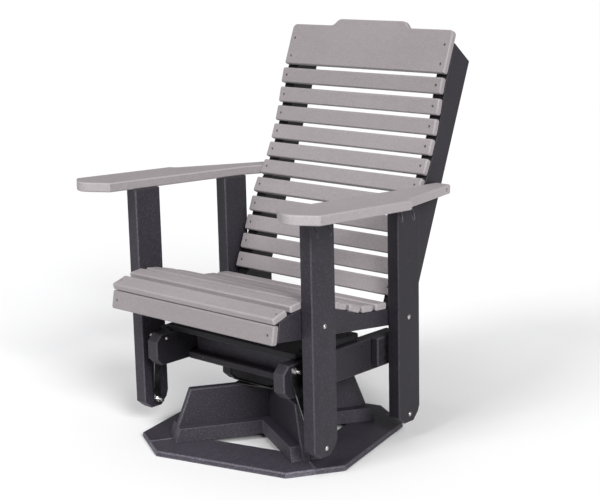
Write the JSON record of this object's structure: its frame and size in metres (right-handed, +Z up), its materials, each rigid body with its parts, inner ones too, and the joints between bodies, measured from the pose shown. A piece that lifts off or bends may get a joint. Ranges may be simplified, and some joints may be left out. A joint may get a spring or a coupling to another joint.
{
  "type": "swivel glider chair",
  "caption": "Slatted plastic-lumber armchair that glides on cranked steel straps and turns on a flat bearing over a cross-shaped pedestal with a clipped ring foot.",
  "frame": {"origin": "centre of the bottom of the bounding box, on the floor under the ring", "axes": "+Z up, the sitter faces -Y, +X to the right seen from the front; the pedestal stands turned 14.8 degrees about the swivel axis"},
  "size_m": [0.889, 0.8414, 1.1014],
  "materials": {
    "light_lumber": "fine brushed grain, weathered light grey",
    "dark_lumber": "fine speckled grain, charcoal",
    "steel": "satin stainless"
  },
  "bodies": {
    "base": {"ring_front": "dark_lumber", "ring_rear": "dark_lumber", "ring_left": "dark_lumber", "ring_right": "dark_lumber", "pedestal_web_a": "dark_lumber", "pedestal_web_b": "dark_lumber", "foot_cleat_right": "dark_lumber", "foot_cleat_rear": "dark_lumber", "foot_cleat_left": "dark_lumber", "foot_cleat_front": "dark_lumber", "bearing_lower": "steel"},
    "cradle": {"bearing_upper": "steel", "swivel_block": "dark_lumber", "cradle_rail_left": "dark_lumber", "cradle_rail_right": "dark_lumber", "cradle_panel_front": "dark_lumber", "cradle_panel_rear": "dark_lumber", "cradle_ledger": "dark_lumber", "deck_board_front": "dark_lumber", "deck_board_rear": "dark_lumber", "stop_block_front_left": "dark_lumber", "stop_block_front_right": "dark_lumber", "stop_block_rear_left": "dark_lumber", "stop_block_rear_right": "dark_lumber"},
    "strap_front_left": {"strap_front_left": "steel"},
    "strap_front_right": {"strap_front_right": "steel"},
    "strap_rear_left": {"strap_rear_left": "steel"},
    "strap_rear_right": {"strap_rear_right": "steel"},
    "seat": {"leg_front_left": "dark_lumber", "leg_front_right": "dark_lumber", "leg_rear_left": "dark_lumber", "leg_rear_right": "dark_lumber", "seat_rail_left": "dark_lumber", "seat_rail_right": "dark_lumber", "apron": "light_lumber", "seat_slat_1": "light_lumber", "seat_slat_2": "light_lumber", "seat_slat_3": "light_lumber", "seat_slat_4": "light_lumber", "seat_slat_5": "light_lumber", "seat_slat_6": "light_lumber", "seat_slat_7": "light_lumber", "seat_slat_8": "light_lumber", "back_post_left": "dark_lumber", "back_post_right": "dark_lumber", "back_slat_1": "light_lumber", "back_slat_2": "light_lumber", "back_slat_3": "light_lumber", "back_slat_4": "light_lumber", "back_slat_5": "light_lumber", "back_slat_6": "light_lumber", "back_slat_7": "light_lumber", "back_slat_8": "light_lumber", "back_slat_9": "light_lumber", "back_slat_10": "light_lumber", "back_slat_11": "light_lumber", "crest": "light_lumber", "arm_left": "light_lumber", "arm_right": "light_lumber"}
  },
  "joints": [
    {"name": "swivel", "type": "hinge", "parent": "base", "child": "cradle", "pos_m": [0, -0.08788, 0.1576], "axis": [0, 0, 1], "continuous": true},
    {"name": "glide", "type": "hinge", "parent": "cradle", "child": "strap_front_left", "pos_m": [-0.25725, -0.27288, 0.2733], "axis": [1, 0, 0], "range_deg": [-11.5, 11.5]},
    {"name": "strap_front_right_swing", "type": "hinge", "parent": "cradle", "child": "strap_front_right", "pos_m": [0.25725, -0.27288, 0.2733], "axis": [1, 0, 0], "range_deg": [-12, 12]},
    {"name": "strap_rear_left_swing", "type": "hinge", "parent": "cradle", "child": "strap_rear_left", "pos_m": [-0.25725, 0.12232, 0.2733], "axis": [1, 0, 0], "range_deg": [-12, 12]},
    {"name": "strap_rear_right_swing", "type": "hinge", "parent": "cradle", "child": "strap_rear_right", "pos_m": [0.25725, 0.12232, 0.2733], "axis": [1, 0, 0], "range_deg": [-12, 12]},
    {"name": "seat_tilt", "type": "hinge", "parent": "strap_front_left", "child": "seat", "pos_m": [-0.2964, -0.24443, 0.0776], "axis": [1, 0, 0], "range_deg": [-13.6, 13.6]}
  ],
  "couplings": [
    {"joint": "strap_front_right_swing", "follows": "glide", "ratio": 1},
    {"joint": "strap_rear_left_swing", "follows": "glide", "ratio": 1},
    {"joint": "strap_rear_right_swing", "follows": "glide", "ratio": 1},
    {"joint": "seat_tilt", "follows": "glide", "ratio": -1.1675}
  ]
}
